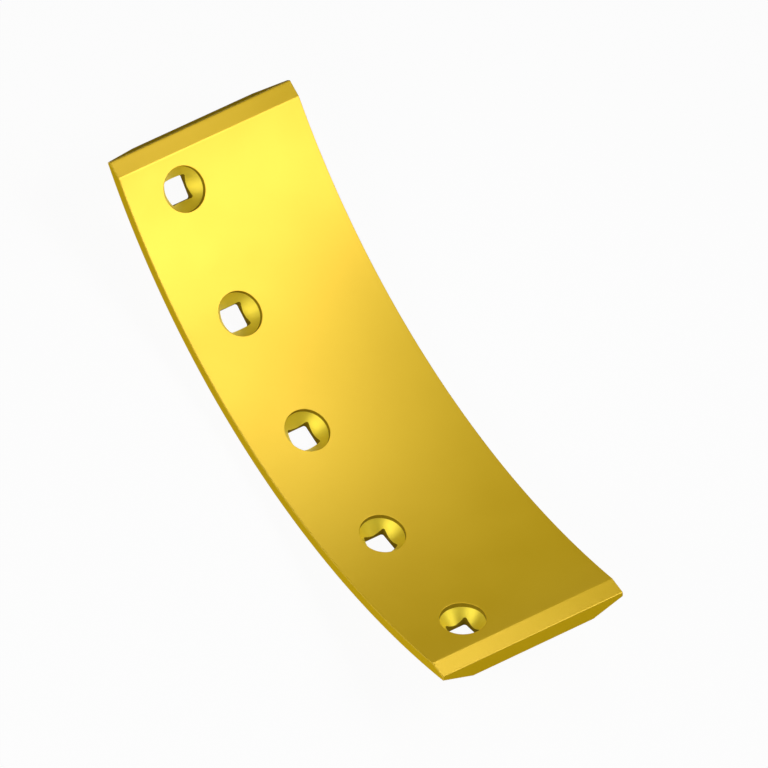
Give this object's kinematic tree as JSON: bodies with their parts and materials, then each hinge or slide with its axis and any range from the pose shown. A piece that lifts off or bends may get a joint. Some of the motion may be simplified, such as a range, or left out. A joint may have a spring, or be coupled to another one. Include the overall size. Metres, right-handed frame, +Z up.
{
  "type": "dozer end bit",
  "caption": "Curved steel blade end bit: a plate bent along its length, with a row of countersunk square bolt holes, bevelled ends and a relieved back.",
  "frame": {"origin": "bottom centre of the part's box, on the lowest line of the convex back", "axes": "+X across the plate, from the edge beside the bolt row to the other long edge; +Y along the plate; +Z up, the way the concave front face looks"},
  "size_m": [0.1524, 0.4438, 0.0697],
  "materials": {
    "yellow_paint": "smooth semi-gloss yellow paint over steel"
  },
  "bodies": {
    "root": {"end_bit": "yellow_paint"}
  },
  "joints": []
}
